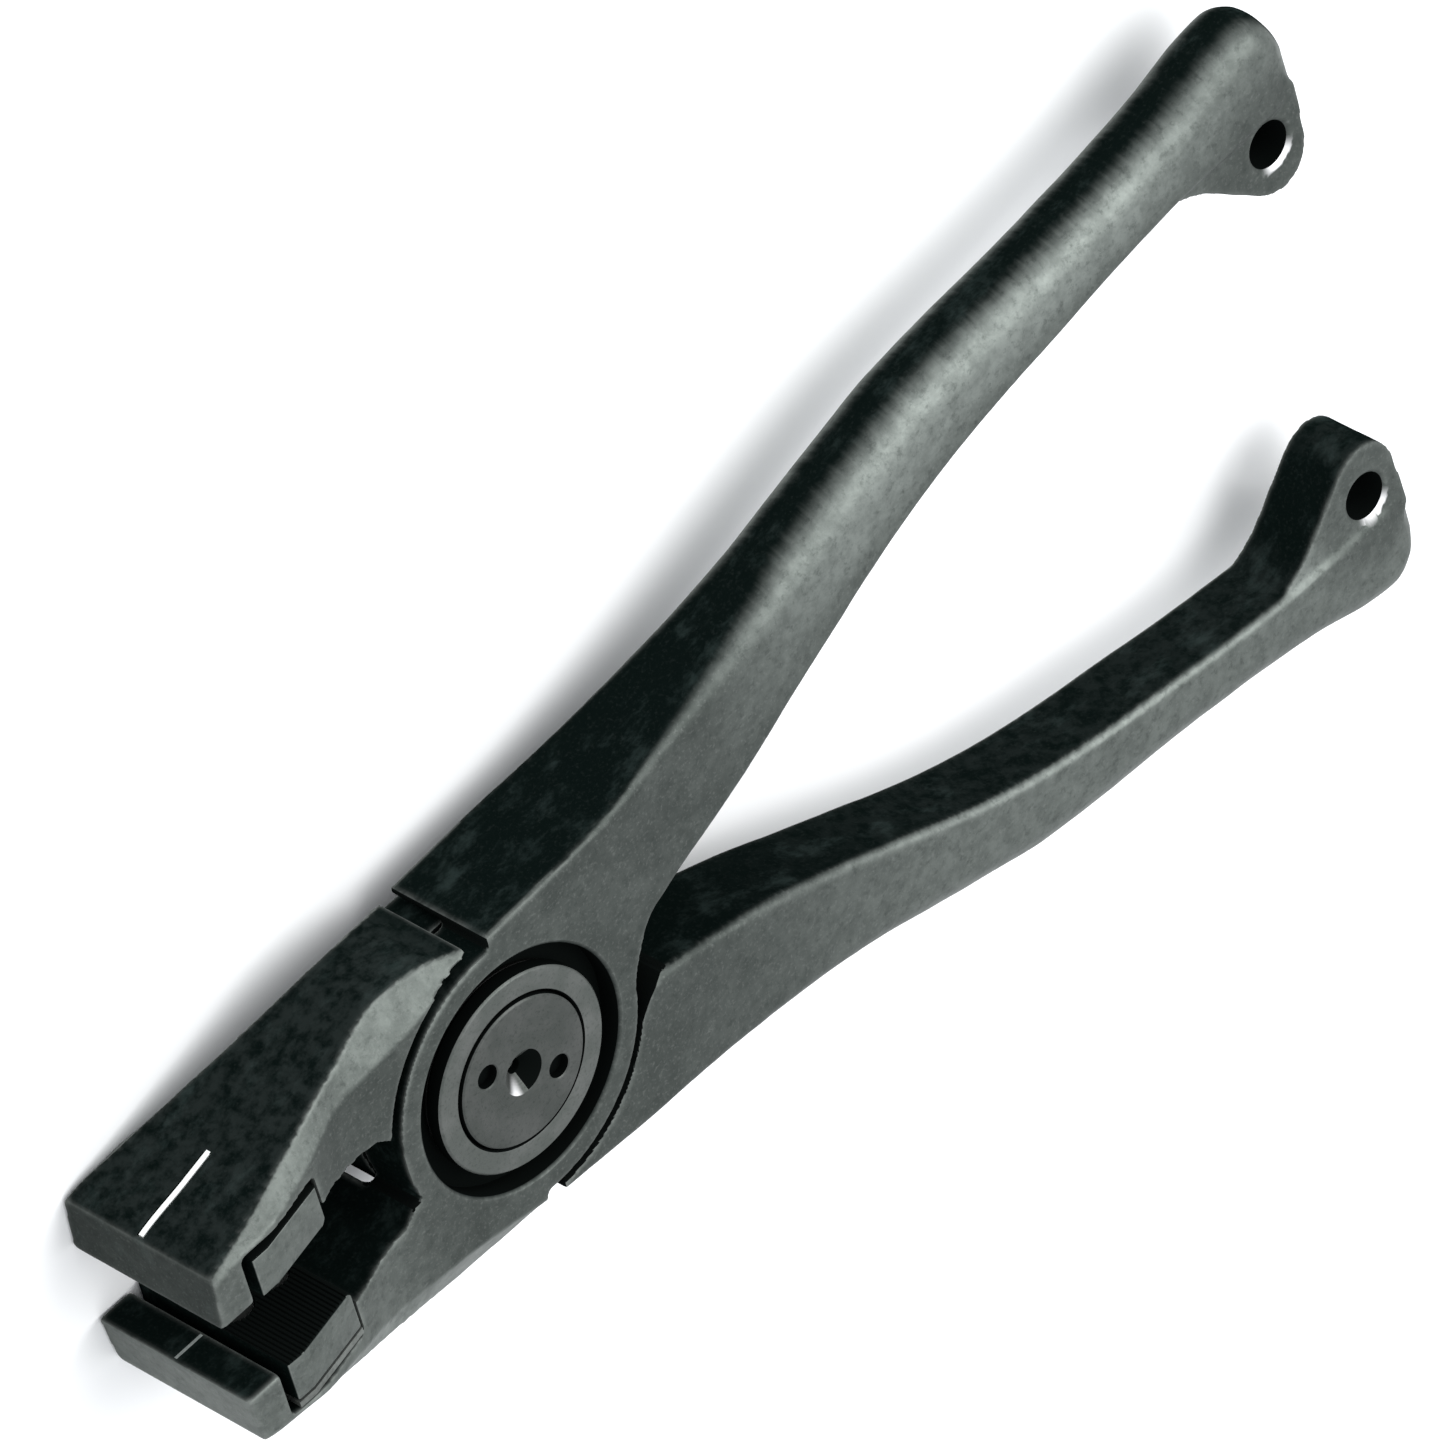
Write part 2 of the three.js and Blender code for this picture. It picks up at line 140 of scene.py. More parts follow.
def smooth_rows(table, step):
    """The table's rows resampled along x with a monotone cubic, so that a station leaves no corner."""
    x, y = table[:, 0], table[:, 1:]
    gap = np.diff(x)[:, None]
    slope = np.diff(y, axis=0) / gap
    tangent = np.vstack([slope[:1], np.zeros((len(x) - 2, y.shape[1])), slope[-1:]])
    before, after = slope[:-1], slope[1:]
    same = before * after > 0
    w1, w2 = 2 * gap[1:] + gap[:-1], gap[1:] + 2 * gap[:-1]
    with np.errstate(divide="ignore", invalid="ignore"):
        mean = (w1 + w2) / (w1 / before + w2 / after)
    tangent[1:-1] = np.where(same, mean, 0)
    count = max(2, round((x[-1] - x[0]) / step))
    at = np.unique(np.concatenate([np.linspace(x[0], x[-1], count), x]))
    i = np.clip(np.searchsorted(x, at, side="right") - 1, 0, len(x) - 2)
    h = gap[i]
    t = ((at - x[i]) / gap[i, 0])[:, None]
    rows = ((1 + 2 * t) * (1 - t) ** 2 * y[i] + t * (1 - t) ** 2 * h * tangent[i]
            + t * t * (3 - 2 * t) * y[i + 1] + t * t * (t - 1) * h * tangent[i + 1])
    return np.column_stack([at, rows])


def new_object(name, data):
    made = bpy.data.objects.new(name, data)
    bpy.context.scene.collection.objects.link(made)
    return made


def from_bmesh(bm, name="shape"):
    bmesh.ops.recalc_face_normals(bm, faces=bm.faces)
    mesh = bpy.data.meshes.new(name)
    bm.to_mesh(mesh)
    bm.free()
    return new_object(name, mesh)


def skin(rings):
    """A closed skin over rings that all have the same number of points."""
    bm = bmesh.new()
    loops = [[bm.verts.new(p) for p in ring] for ring in rings]
    count = len(loops[0])
    for a, b in zip(loops, loops[1:]):
        for i in range(count):
            j = (i + 1) % count
            bm.faces.new((a[i], a[j], b[j], b[i]))
    bm.faces.new(loops[0])
    bm.faces.new(loops[-1])
    bmesh.ops.triangulate(bm, faces=bm.faces)
    return from_bmesh(bm)


def prism(outline, z0, z1):
    """A flat outline in XY raised from z0 to z1."""
    bm = bmesh.new()
    floor = [bm.verts.new((x, y, z0)) for x, y in outline]
    roof = [bm.verts.new((x, y, z1)) for x, y in outline]
    for i in range(len(outline)):
        j = (i + 1) % len(outline)
        bm.faces.new((floor[i], floor[j], roof[j], roof[i]))
    bm.faces.new(floor)
    bm.faces.new(roof)
    return from_bmesh(bm)


def block(low, high):
    outline = [(low[0], low[1]), (high[0], low[1]), (high[0], high[1]), (low[0], high[1])]
    return prism(outline, low[2], high[2])


def rounded(profile, radius, steps=3):
    """The closed profile with each corner turned into a small curve."""
    points = []
    corners = [np.array(p, float) for p in profile]
    for i, corner in enumerate(corners):
        before, after = corners[i - 1], corners[(i + 1) % len(corners)]
        if corner[0] < 1e-6:
            points.append(corner)
            continue
        back, on = before - corner, after - corner
        reach = min(radius, 0.45 * np.linalg.norm(back), 0.45 * np.linalg.norm(on))
        start = corner + back / np.linalg.norm(back) * reach
        end = corner + on / np.linalg.norm(on) * reach
        for t in np.linspace(0, 1, steps + 1):
            points.append((1 - t) ** 2 * start + 2 * t * (1 - t) * corner + t * t * end)
    return points


def turned(profile, radius, segments=144):
    """A solid turned about Z from [radius, z] points, with its edges broken."""
    profile = rounded(profile, radius) if radius else profile
    bm = bmesh.new()
    columns = []
    for r, z in profile:
        if r < 1e-6:
            columns.append([bm.verts.new((0, 0, z))] * segments)
            continue
        turn = (2 * math.pi * k / segments for k in range(segments))
        columns.append([bm.verts.new((r * math.cos(a), r * math.sin(a), z)) for a in turn])
    for i, a in enumerate(columns):
        b = columns[(i + 1) % len(columns)]
        for k in range(segments):
            m = (k + 1) % segments
            corners = list(dict.fromkeys((a[k], a[m], b[m], b[k])))
            if len(corners) > 2:
                bm.faces.new(corners)
    return from_bmesh(bm)


def disc(r, z0, z1, segments=96, radius=0):
    return turned([(0, z0), (r, z0), (r, z1), (0, z1)], radius, segments)


def moved(obj, matrix):
    obj.data.transform(matrix)
    return obj


def shifted(obj, x, y=0.0):
    return moved(obj, Matrix.Translation((x, y, 0)))


def along_y(obj):
    """Lays a shape drawn about Z on the Y axis, its top towards +Y."""
    return moved(obj, Matrix.Rotation(-math.pi / 2, 4, "X"))


def as_drawn(obj):
    return obj


def half_turn(obj):
    return moved(obj, Matrix.Rotation(math.pi, 4, "X"))


def copied(obj):
    return new_object("copy", obj.data.copy())


def bake(obj):
    """Applies the object's modifiers."""
    graph = bpy.context.evaluated_depsgraph_get()
    mesh = bpy.data.meshes.new_from_object(obj.evaluated_get(graph))
    old = obj.data
    obj.modifiers.clear()
    obj.data = mesh
    bpy.data.meshes.remove(old)
    return obj


def combine(obj, other, operation):
    cut = obj.modifiers.new("combine", "BOOLEAN")
    cut.operation = operation
    cut.solver = "MANIFOLD"
    cut.object = other
    bake(obj)
    mesh = other.data
    bpy.data.objects.remove(other)
    bpy.data.meshes.remove(mesh)
    return obj


def cut(obj, *cutters):
    for cutter in cutters:
        combine(obj, cutter, "DIFFERENCE")
    return obj


def join(obj, *others):
    for other in others:
        combine(obj, other, "UNION")
    return obj


def remeshed(obj, voxel, rounds):
    """Even small faces all over, with every edge rounded a little as on a forging."""
    even = obj.modifiers.new("even", "REMESH")
    even.mode = "VOXEL"
    even.voxel_size = voxel
    soften = obj.modifiers.new("soften", "SMOOTH")
    soften.factor = 0.5
    soften.iterations = rounds
    return bake(obj)


def bevelled(obj, width):
    bevel = obj.modifiers.new("bevel", "BEVEL")
    bevel.width = width
    bevel.segments = 3
    bevel.limit_method = "ANGLE"
    bevel.angle_limit = math.radians(28)
    return bake(obj)


def curve(start, *spans):
    """Points of an outline: each span is (x, y) for a line or (cx, cy, x, y) for a curve."""
    steps = 8
    points = [np.array(start, float)]
    for span in spans:
        here = points[-1]
        if len(span) == 2:
            points.append(np.array(span, float))
            continue
        bend, end = np.array(span[:2], float), np.array(span[2:], float)
        for t in np.linspace(0, 1, steps + 1)[1:]:
            points.append((1 - t) ** 2 * here + 2 * t * (1 - t) * bend + t * t * end)
    return [tuple(p) for p in points]


# ---- attributes that the materials read ----

def put_attribute(mesh, name, values, domain="POINT"):
    made = mesh.attributes.new(name, "FLOAT", domain)
    made.data.foreach_set("value", np.asarray(values, np.float32))


def mesh_arrays(mesh):
    places = np.empty(len(mesh.vertices) * 3, np.float32)
    mesh.vertices.foreach_get("co", places)
    normals = np.empty(len(mesh.vertices) * 3, np.float32)
    mesh.vertex_normals.foreach_get("vector", normals)
    pairs = np.empty(len(mesh.edges) * 2, np.int32)
    mesh.edges.foreach_get("vertices", pairs)
    return places.reshape(-1, 3), normals.reshape(-1, 3), pairs.reshape(-1, 2)


def face_arrays(mesh):
    """Each face's centre and normal."""
    centres = np.empty(len(mesh.polygons) * 3, np.float32)
    mesh.polygons.foreach_get("center", centres)
    normals = np.empty(len(mesh.polygons) * 3, np.float32)
    mesh.polygons.foreach_get("normal", normals)
    return centres.reshape(-1, 3), normals.reshape(-1, 3)


def neighbour_mean(values, pairs):
    total = np.zeros(len(values))
    count = np.zeros(len(values))
    for a, b in ((0, 1), (1, 0)):
        np.add.at(total, pairs[:, a], values[pairs[:, b]])
        np.add.at(count, pairs[:, a], 1)
    return total / np.maximum(count, 1)


def step_between(low, high, values):
    t = np.clip((values - low) / (high - low), 0, 1)
    return t * t * (3 - 2 * t)


def worn_edges(mesh, low=0.2, high=0.9, rounds=2):
    """How sharply the surface turns outward at each point, from 0 to 1."""
    places, normals, pairs = mesh_arrays(mesh)
    bend = np.zeros(len(places))
    count = np.zeros(len(places))
    for a, b in ((0, 1), (1, 0)):
        here, there = pairs[:, a], pairs[:, b]
        gap = places[here] - places[there]
        length = np.maximum(np.linalg.norm(gap, axis=1), 0.15)
        np.add.at(bend, here, (normals[here] * gap).sum(1) / length**2 * 2)
        np.add.at(count, here, 1)
    bend /= np.maximum(count, 1)
    edge = step_between(low, high, bend)
    for _ in range(rounds):
        edge = 0.5 * edge + 0.5 * neighbour_mean(edge, pairs)
    return edge


def relief(mesh, height, size):
    """Moves points along their normals by soft noise, as a forged face is never quite flat.

    The hub and the stretch with the insert are machined and stay flat.
    """
    places, normals, _ = mesh_arrays(mesh)
    keep = step_between(HUB_R + 1, HUB_R + 8, np.linalg.norm(places[:, :2], axis=1))
    keep = keep * (np.abs(places[:, 0] - MACHINED_X) > MACHINED_HALF)
    lift = np.array([noise.noise(Vector(p) / size) for p in places.tolist()])
    lift = lift + 0.5 * np.array([noise.noise(Vector(p) / size * 2.7) for p in places.tolist()])
    places = places + normals * (lift * height * keep)[:, None]
    mesh.vertices.foreach_set("co", places.astype(np.float32).ravel())
    mesh.update()


# ---- the levers ----

def jaw_ring(x, low, side, ridge, top, crown):
    """A section across the jaw: upright sides to a ridge, then slanting flanks to the back."""
    half = [(low, side - 0.5), (low + 0.5, side), (ridge, side), (top, crown)]
    rim = half + [(y, -z) for y, z in reversed(half)]
    return [(x, y, z) for y, z in rim]


def handle_ring(x, inner, back, half, corner):
    """A section across the handle: broken inner edges and rounded back corners."""
    edge = min(1.1, half / 5)
    rim = [(inner, half - edge), (inner + edge, half)]
    for a in np.linspace(0, math.pi / 2, 9):
        rim.append((back - corner + corner * math.sin(a), half - corner + corner * math.cos(a)))
    rim += [(y, -z) for y, z in reversed(rim)]
    return [(x, -y, z) for y, z in rim]


def envelope(sides):
    """All that lies between two side faces, given by (x, half width) points."""
    outline = list(sides) + [(x, -half) for x, half in reversed(sides)]
    return moved(prism(outline, -FAR, FAR), Matrix.Rotation(math.pi / 2, 4, "X"))


def lug():
    """The ear on the inner side of the handle's end."""
    outline = curve((179, 50), (182.4, 46), (186.6, 44.6, 190, 41.6), (199.8, 33),
                    (204.6, 29.7, 208.8, 32.4), (211.2, 34.4, 211.9, 38), (212.7, 49),
                    (210, 54), (190, 54))
    return half_turn(prism(outline, -LUG_HALF, LUG_HALF))


def lug_eye():
    """The eye's bore, opening out at both faces."""
    far, near, rim = LUG_HALF + 1, LUG_HALF - 0.5, LUG_HOLE_R + 2.2
    profile = [(0, -far), (rim, -far), (LUG_HOLE_R, -near), (LUG_HOLE_R, near), (rim, far), (0, far)]
    return shifted(turned(profile, 0, 64), LUG_X, -LUG_Y)


def hub_pocket():
    """Room for the other lever's hub: wide on the jaw, close on the handle, its corner rounded."""
    seat = LAP_FACE + 0.15
    room = disc(HANDLE_POCKET_R + RECUT, seat, FAR, RECUT_SEGMENTS)
    jaw_side = combine(disc(POCKET_R + RECUT, seat, FAR, RECUT_SEGMENTS),
                       block((-FAR, -FAR, -FAR), (0, FAR, FAR)), "INTERSECT")
    corner = prism(curve((20, -5), (34.5, -5), (34.5, -6.3), (28.3, -7, 25.2, -13.2), (20, -13.2)),
                   seat, FAR)
    return join(room, jaw_side, corner)


def neck():
    """The web that joins the hub's half to the handle, below the lap face."""
    outline = curve((20, -14), (20, 14), (24.4, 12.2), (27.6, -1.5, 34.4, -6.4),
                    (38.5, -9.2, 46, -11), (40, -14))
    web = prism(outline, -HUB_FACE, LAP_FACE)
    sides = [(row[0], row[3] - 0.02) for row in smooth_rows(HANDLE[:5], 2)]
    return combine(web, envelope(sides), "INTERSECT")


def forging():
    """The lever with the upper jaw: forged in one piece, then machined where others fit."""
    jaw = skin([jaw_ring(*row) for row in smooth_rows(JAW, 1.5)])
    front = prism([(-90, 20.6), (JAW_TIP_X + JAW_FRONT_SLANT + 0.2, 20.6), (JAW_TIP_X, LIP_Y - 1),
                   (-90, LIP_Y - 1)], -FAR, FAR)
    pocket = block((JAW_TIP_X + LIP_THICK, 0, -FAR), (THROAT_X, POCKET_ROOF_Y, FAR))
    throat = prism([(THROAT_X - 1, 0), (THROAT_X - 1, 11.7), (-43, 12), (-31, 10.3), (-26, 6),
                    (-26, 0)], -FAR, FAR)
    cut(jaw, front, pocket, throat)
    cut(jaw, disc(POCKET_R, LAP_FACE, FAR, HUB_SEGMENTS))
    arm = join(skin([handle_ring(*row) for row in smooth_rows(HANDLE, 1.5)]), lug())
    cut(arm, disc(HANDLE_POCKET_R, LAP_FACE, FAR, HUB_SEGMENTS))
    join(jaw, arm, disc(HUB_R, -HUB_FACE, LAP_FACE, HUB_SEGMENTS), neck())
    remeshed(jaw, voxel=0.54, rounds=3)
    relief(jaw.data, height=0.07, size=9)
    recess = [(0, -FAR), (RECESS_R + 1.5, -FAR), (RECESS_R + 1.5, -HUB_FACE - 0.8),
              (RECESS_R, -HUB_FACE + 0.45), (RECESS_R, -RECESS_FLOOR), (0, -RECESS_FLOOR)]
    cut(jaw, hub_pocket(), lug_eye(), turned(recess, 0, HUB_SEGMENTS), disc(BUSH_R + CLEAR, -FAR, FAR),
        disc(SHIM_R + CLEAR, -SHIM_THICK / 2 - CLEAR, FAR))
    for x in SCREW_XS.values():
        cut(jaw, shifted(along_y(disc(SCREW_SHANK_R + CLEAR, 0, SCREW_TIP_Y + CLEAR, 32)), x))
    return jaw


INDEX_START, INDEX_END, INDEX_Y = -73.2, -55.6, 19.35
INDEX_SLOPE = math.atan2(3.1, 12.2)
INDEX_HALF, INDEX_GAP, INDEX_DEPTH = 0.54, 0.26, 0.5


def index_groove():
    """The cut in the jaw's back that the index line lies in."""
    grow, width = 0.2, INDEX_HALF + INDEX_GAP
    groove = block((-grow, -INDEX_DEPTH - grow, -width), (INDEX_END - INDEX_START + grow, 5, width))
    moved(groove, Matrix.Rotation(INDEX_SLOPE, 4, "Z"))
    return shifted(groove, INDEX_START, INDEX_Y)


def strip(points, depth, half, crown=0.12):
    """A thin bar of enamel along x under the given (x, y) top points, with broken edges."""
    rings = []
    for x, y in points:
        rim = [(y - depth, half), (y - crown, half), (y, half - crown)]
        rings.append([(x, v, z) for v, z in rim + [(v, -z) for v, z in reversed(rim)]])
    return skin(rings)


def index_line():
    rows = smooth_rows(JAW, 0.5)
    at = np.linspace(INDEX_START, INDEX_END, 40)
    proud = 0.06
    back = np.interp(at, rows[:, 0], rows[:, 4]) + proud
    return strip(list(zip(at, back)), INDEX_DEPTH, INDEX_HALF)


def lip_line():
    """Thin centre mark on the lower jaw's lip."""
    margin, proud = 0.7, 0.04
    at = np.linspace(JAW_TIP_X + margin, JAW_TIP_X + LIP_THICK - margin, 8)
    return strip([(x, -LIP_Y + proud) for x in at], depth=0.4, half=0.3, crown=0.03)


# ---- where the levers are rubbed, worn and dirty ----

NEAR_HUB_R = 36  # inside this radius the sides are rubbed, and painted lighter, right up to their edges
JAW_FROM_HUB, JAW_TO_TIP = (24, 40), (40, 55)  # mm from the pivot towards the tip
HANDLE_ROUNDING, HANDLE_GRIP, PALM_HIGHLIGHT = (30, 80), (40, 110), (50, 105)  # mm towards the ear
EAR_DULL, EAR_HANDLED = 9, 18  # mm from the eye's centre
EYE_HIGHLIGHT_TURN = 1.25  # where a painted highlight sits on the eye's rim


class Surface:
    """A lever's points, and what its look follows at each of them."""

    def __init__(self, mesh):
        places, normals, self.pairs = mesh_arrays(mesh)
        x, y, _ = places.T
        self.x, self.y = x, y
        self.flat = np.abs(normals[:, 2])
        self.outward = normals[:, 1] * np.sign(y)
        self.handle = step_between(*HANDLE_GRIP, x)
        self.tip = step_between(*JAW_TO_TIP, -x)
        self.along = step_between(30, 60, x)
        self.back = step_between(*HANDLE_ROUNDING, x) * step_between(-0.2, 0.2, self.outward)
        front = -normals[:, 0] * (x < -30)
        # The upper jaw's front face is painted darker than the lower jaw's, as painted shade.
        self.end = step_between(0.7, 0.85, front) * np.where(y < 0, 1, 0.45)
        inner = np.interp(x, HANDLE[:, 0], HANDLE[:, 1])
        self.across = (np.abs(y) - inner) / (np.interp(x, HANDLE[:, 0], HANDLE[:, 2]) - inner)
        self.from_eye = np.hypot(x - LUG_X, np.abs(y) - LUG_Y)


def rubbed_and_painted_light_sides(p):
    """The flat sides and the jaws' ends: rubbed grey steel, and painted light on faces turned up
    towards the lamps, graded softly like shading on the handles' round backs.
    """
    radius = np.hypot(p.x, p.y)
    by_hub = (radius > HUB_R + 0.4) & (radius < NEAR_HUB_R)
    low = np.where(by_hub, 0.2, 0.5 - 0.25 * p.along - 0.15 * p.back)
    high = np.where(by_hub, 0.35, 0.62 + 0.08 * p.along + 0.24 * p.back)
    rubbed_and_painted_light = np.maximum(step_between(low, high, p.flat), p.end)
    soft = rubbed_and_painted_light
    for _ in range(4):
        soft = 0.5 * soft + 0.5 * neighbour_mean(soft, p.pairs)
    return rubbed_and_painted_light + (soft - rubbed_and_painted_light) * (0.4 + 0.6 * p.along)


def polish_and_highlight_parts(p):
    """Where hands, strapping and the bench have polished the steel most, together with painted
    highlights, and lighter or darker levels for each lever as painted light.
    """
    jaw = step_between(*JAW_FROM_HUB, -p.x)
    # Painted highlight on the jaw facets that lean towards the light.
    leaf_highlight = step_between(0.12, 0.35, p.outward) * step_between(0, 8, -p.x) * (1 - 0.5 * p.tip)
    # Painted highlight: a broad stripe across the upper handle's round back, where hands also polish
    # it.
    palm_highlight = step_between(0.08, 0.5, p.across) * step_between(*PALM_HIGHLIGHT, p.x) * (p.y > 0)
    # Painted highlight: a bright line along the lower handle's inner edge.
    rim = (1 - step_between(0.04, 0.1, p.across)) * (p.y < 0)
    # The lower handle's sides are set lighter than the upper one's, as painted light.
    grip = p.handle * np.where(p.y > 0, 0.26, 0.42 + 0.5 * rim)
    grip = grip + (0.62 - 0.42 * step_between(165, 205, p.x)) * palm_highlight
    by_eye = 1 - step_between(EAR_DULL, EAR_HANDLED, p.from_eye)
    polish_and_highlight = grip * (1 - 0.8 * by_eye) * (p.flat > 0.2) + 0.42 * leaf_highlight
    sides = np.maximum(p.flat, p.end) > 0.5
    # The two jaws' sides are lightened in different stretches, lower and upper, as painted light.
    polish_and_highlight = polish_and_highlight + np.where(p.y < 0, 0.3 * jaw, 0.22 * p.tip) * sides
    return np.clip(polish_and_highlight, 0, 1)


def eye_painted_highlight(p):
    """A painted highlight: a bright arc on the rim of each ear's eye."""
    turn = np.arctan2(p.y - LUG_Y * np.sign(p.y), p.x - LUG_X) + EYE_HIGHLIGHT_TURN
    on_rim = (p.from_eye < LUG_HOLE_R + 1) * (p.flat > 0.2)
    return (1 - step_between(0.3, 1, np.abs(turn))) * on_rim


def dust(p):
    """Grey dust on the jaws' backs and on the inner face of the lower handle."""
    jaw_back = step_between(0.8, 0.95, p.outward) * step_between(0, 10, -p.x) * (p.x < 0)
    face_in = step_between(0.8, 0.95, -p.outward) * p.handle * (p.y < 0)
    return 0.2 * jaw_back + 0.12 * face_in


def painted_shade_faces(mesh):
    """Painted shade: pocket walls, the hub's recess, the lap faces and the eyes' bores, painted
    near-black where shade falls.
    """
    centres, normals = face_arrays(mesh)
    x, y, depth = centres[:, 0], centres[:, 1], np.abs(centres[:, 2])
    reach = np.hypot(x, y)
    steep = np.abs(normals[:, 2]) < 0.5
    inside = depth < HUB_FACE - 0.1
    walls = steep & (reach > HUB_R + 0.5) & (reach < POCKET_R + 0.4) & inside
    corner = steep & (x > 24) & (x < 35) & inside & (np.abs(np.abs(y) - 9.8) < 4)
    recess = (reach < RECESS_R + 0.3) & (depth < HUB_FACE - 0.5)
    bore = steep & (np.hypot(x - LUG_X, np.abs(y) - LUG_Y) < LUG_HOLE_R + 0.2)
    return walls | corner | recess | (~steep & (depth < 2)) | bore


def dress(obj):
    """Writes what a lever's look follows."""
    mesh = obj.data
    surface = Surface(mesh)
    put_attribute(mesh, "rubbed_and_painted_light", rubbed_and_painted_light_sides(surface))
    put_attribute(mesh, "ragged", surface.back)
    put_attribute(mesh, "polish_and_highlight", polish_and_highlight_parts(surface))
    put_attribute(mesh, "painted_highlight", eye_painted_highlight(surface))
    put_attribute(mesh, "dusty", dust(surface))
    put_attribute(mesh, "worn", worn_edges(mesh))
    put_attribute(mesh, "painted_shade", painted_shade_faces(mesh), "FACE")


def dress_insert(obj):
    """The flat sides are rubbed bright and painted lighter as light; the gripping face and the back
    are painted near-black as shade.
    """
    mesh = obj.data
    normals = mesh_arrays(mesh)[1]
    rubbed_and_painted_light = step_between(0.6, 0.8, np.abs(normals[:, 2]))
    put_attribute(mesh, "rubbed_and_painted_light", rubbed_and_painted_light)
    put_attribute(mesh, "polish_and_highlight", 0.33 * rubbed_and_painted_light)
    put_attribute(mesh, "worn", worn_edges(mesh, 0.3, 1.6, 0) * rubbed_and_painted_light)
    put_attribute(mesh, "painted_shade", np.abs(face_arrays(mesh)[1][:, 1]) > 0.5, "FACE")


def dress_turned(obj, gap_from, gap_to):
    """Painted shade in the holes of the bolt's head, on outer walls and in the seam round the head,
    and a painted highlight in the countersink.
    """
    mesh = obj.data
    centres, faces = face_arrays(mesh)
    radius, height = np.hypot(centres[:, 0], centres[:, 1]), np.abs(centres[:, 2])
    seam = (radius > gap_from) & (radius < gap_to)
    wall = (np.abs(faces[:, 2]) < 0.5) & (radius > HEAD_R - 0.2)
    angle = np.arctan2(centres[:, 1], centres[:, 0])
    hole = (height < HEAD_TOP - 0.25) & (radius < HEAD_R - 1) & (height > HUB_FACE - 3.5)
    on_sink = (radius < SINK_R + 0.3) & (radius > CENTRE_DRILL_R + 0.1)
    # Only the countersink's side turned away from the light takes painted shade.
    hole &= ~on_sink | (np.abs(angle - SHADE_ANGLE) < 1.3)
    put_attribute(mesh, "painted_shade", seam | wall | hole, "FACE")
    x, y, z = mesh_arrays(mesh)[0].T
    # Painted highlight: a bright patch on the countersink's rim, on the side facing the light.
    highlight_spot = step_between(0, 0.5, 0.5 - np.abs(np.arctan2(y, x) - SINK_HIGHLIGHT_ANGLE))
    near_rim = (np.hypot(x, y) < SINK_R + 0.15) * (z > HEAD_TOP - 0.6)
    put_attribute(mesh, "painted_highlight", highlight_spot * near_rim)


# ---- inserts and screws, for the upper jaw ----

def insert_block():
    """The grip insert: flush with the jaw's sides, fine grooves across its gripping face."""
    front, rear = THROAT_X - CLEAR - INSERT_LENGTH, THROAT_X - CLEAR
    outline = [(front, INSERT_FACE_Y), (rear - 1, INSERT_FACE_Y), (rear, INSERT_FACE_Y + 1),
               (rear, INSERT_BACK_Y), (front, INSERT_BACK_Y)]
    body = prism(outline, -FAR, FAR)
    sides = [(front - 1, MID - 0.1), (-62, MID - 0.1), (rear, 15.05), (rear + 1, 14.8)]
    combine(body, envelope(sides), "INTERSECT")
    bevelled(body, 0.45)
    pitch, depth = 0.9, 0.28
    for k in range(round(INSERT_LENGTH / pitch)):
        x = front + (k + 0.5) * pitch
        groove = prism([(x - depth, INSERT_FACE_Y - 0.1), (x + depth, INSERT_FACE_Y - 0.1),
                        (x, INSERT_FACE_Y + depth)], -FAR, FAR)
        cut(body, groove)
    for x in SCREW_XS.values():
        cut(body, screw_room(x))
    return body


def screw_room(x):
    """Countersink and clearance hole for one screw."""
    grow = CLEAR + 0.07
    head, shank = SCREW_HEAD_R + grow, SCREW_SHANK_R + grow
    profile = [(0, -5), (head, -5), (head, SCREW_HEAD_Y), (shank, SCREW_HEAD_Y + SCREW_CONE),
               (shank, FAR), (0, FAR)]
    return shifted(along_y(turned(profile, 0, 64)), x)


def screw(x):
    profile = [(0, SCREW_HEAD_Y), (SCREW_HEAD_R, SCREW_HEAD_Y),
               (SCREW_SHANK_R, SCREW_HEAD_Y + SCREW_CONE), (SCREW_SHANK_R, SCREW_TIP_Y),
               (0, SCREW_TIP_Y)]
    body = along_y(turned(profile, 0.2, 64))
    cut(body, along_y(disc(SOCKET_R, 0, SCREW_HEAD_Y + 1.6, 6)))
    return shifted(body, x)


# ---- pivot stack, drawn for the top side ----

def spanner_holes(pitch, angle):
    holes = []
    for turn in (angle, angle + math.pi):
        base = HEAD_TOP - 1.9
        hole = turned([(0, base), (SPANNER_HOLE_R, base), (SPANNER_HOLE_R, HEAD_TOP - 0.2),
                       (SPANNER_HOLE_R + 0.7, HEAD_TOP + 0.5), (0, HEAD_TOP + 0.5)], 0, 48)
        holes.append(shifted(hole, pitch * math.cos(turn), pitch * math.sin(turn)))
    return holes


def lock_screw_hole():
    return shifted(disc(LOCK_SCREW_R + 0.3, -FAR, -HEAD_BASE + 0.5, 32), SHANK_R + 0.15)


def pivot_bolt():
    """Flat round head with two spanner holes and a countersunk lathe centre."""
    foot = -HEAD_TOP + 0.6
    profile = [(0, foot), (SHANK_R - 0.8, foot), (SHANK_R, foot + 0.8), (SHANK_R, HEAD_BASE),
               (HEAD_R, HEAD_BASE), (HEAD_R, HEAD_TOP - 0.4), (HEAD_R - 0.4, HEAD_TOP),
               (SINK_R + 0.2, HEAD_TOP), (SINK_R, HEAD_TOP), (CENTRE_DRILL_R, HEAD_TOP - SINK_DEPTH),
               (CENTRE_DRILL_R, HEAD_TOP - 4), (0, HEAD_TOP - 4.6)]
    body = turned(profile, 0.12)
    return cut(body, *spanner_holes(BOLT_SPANNER_R, SPANNER_ANGLE), lock_screw_hole())


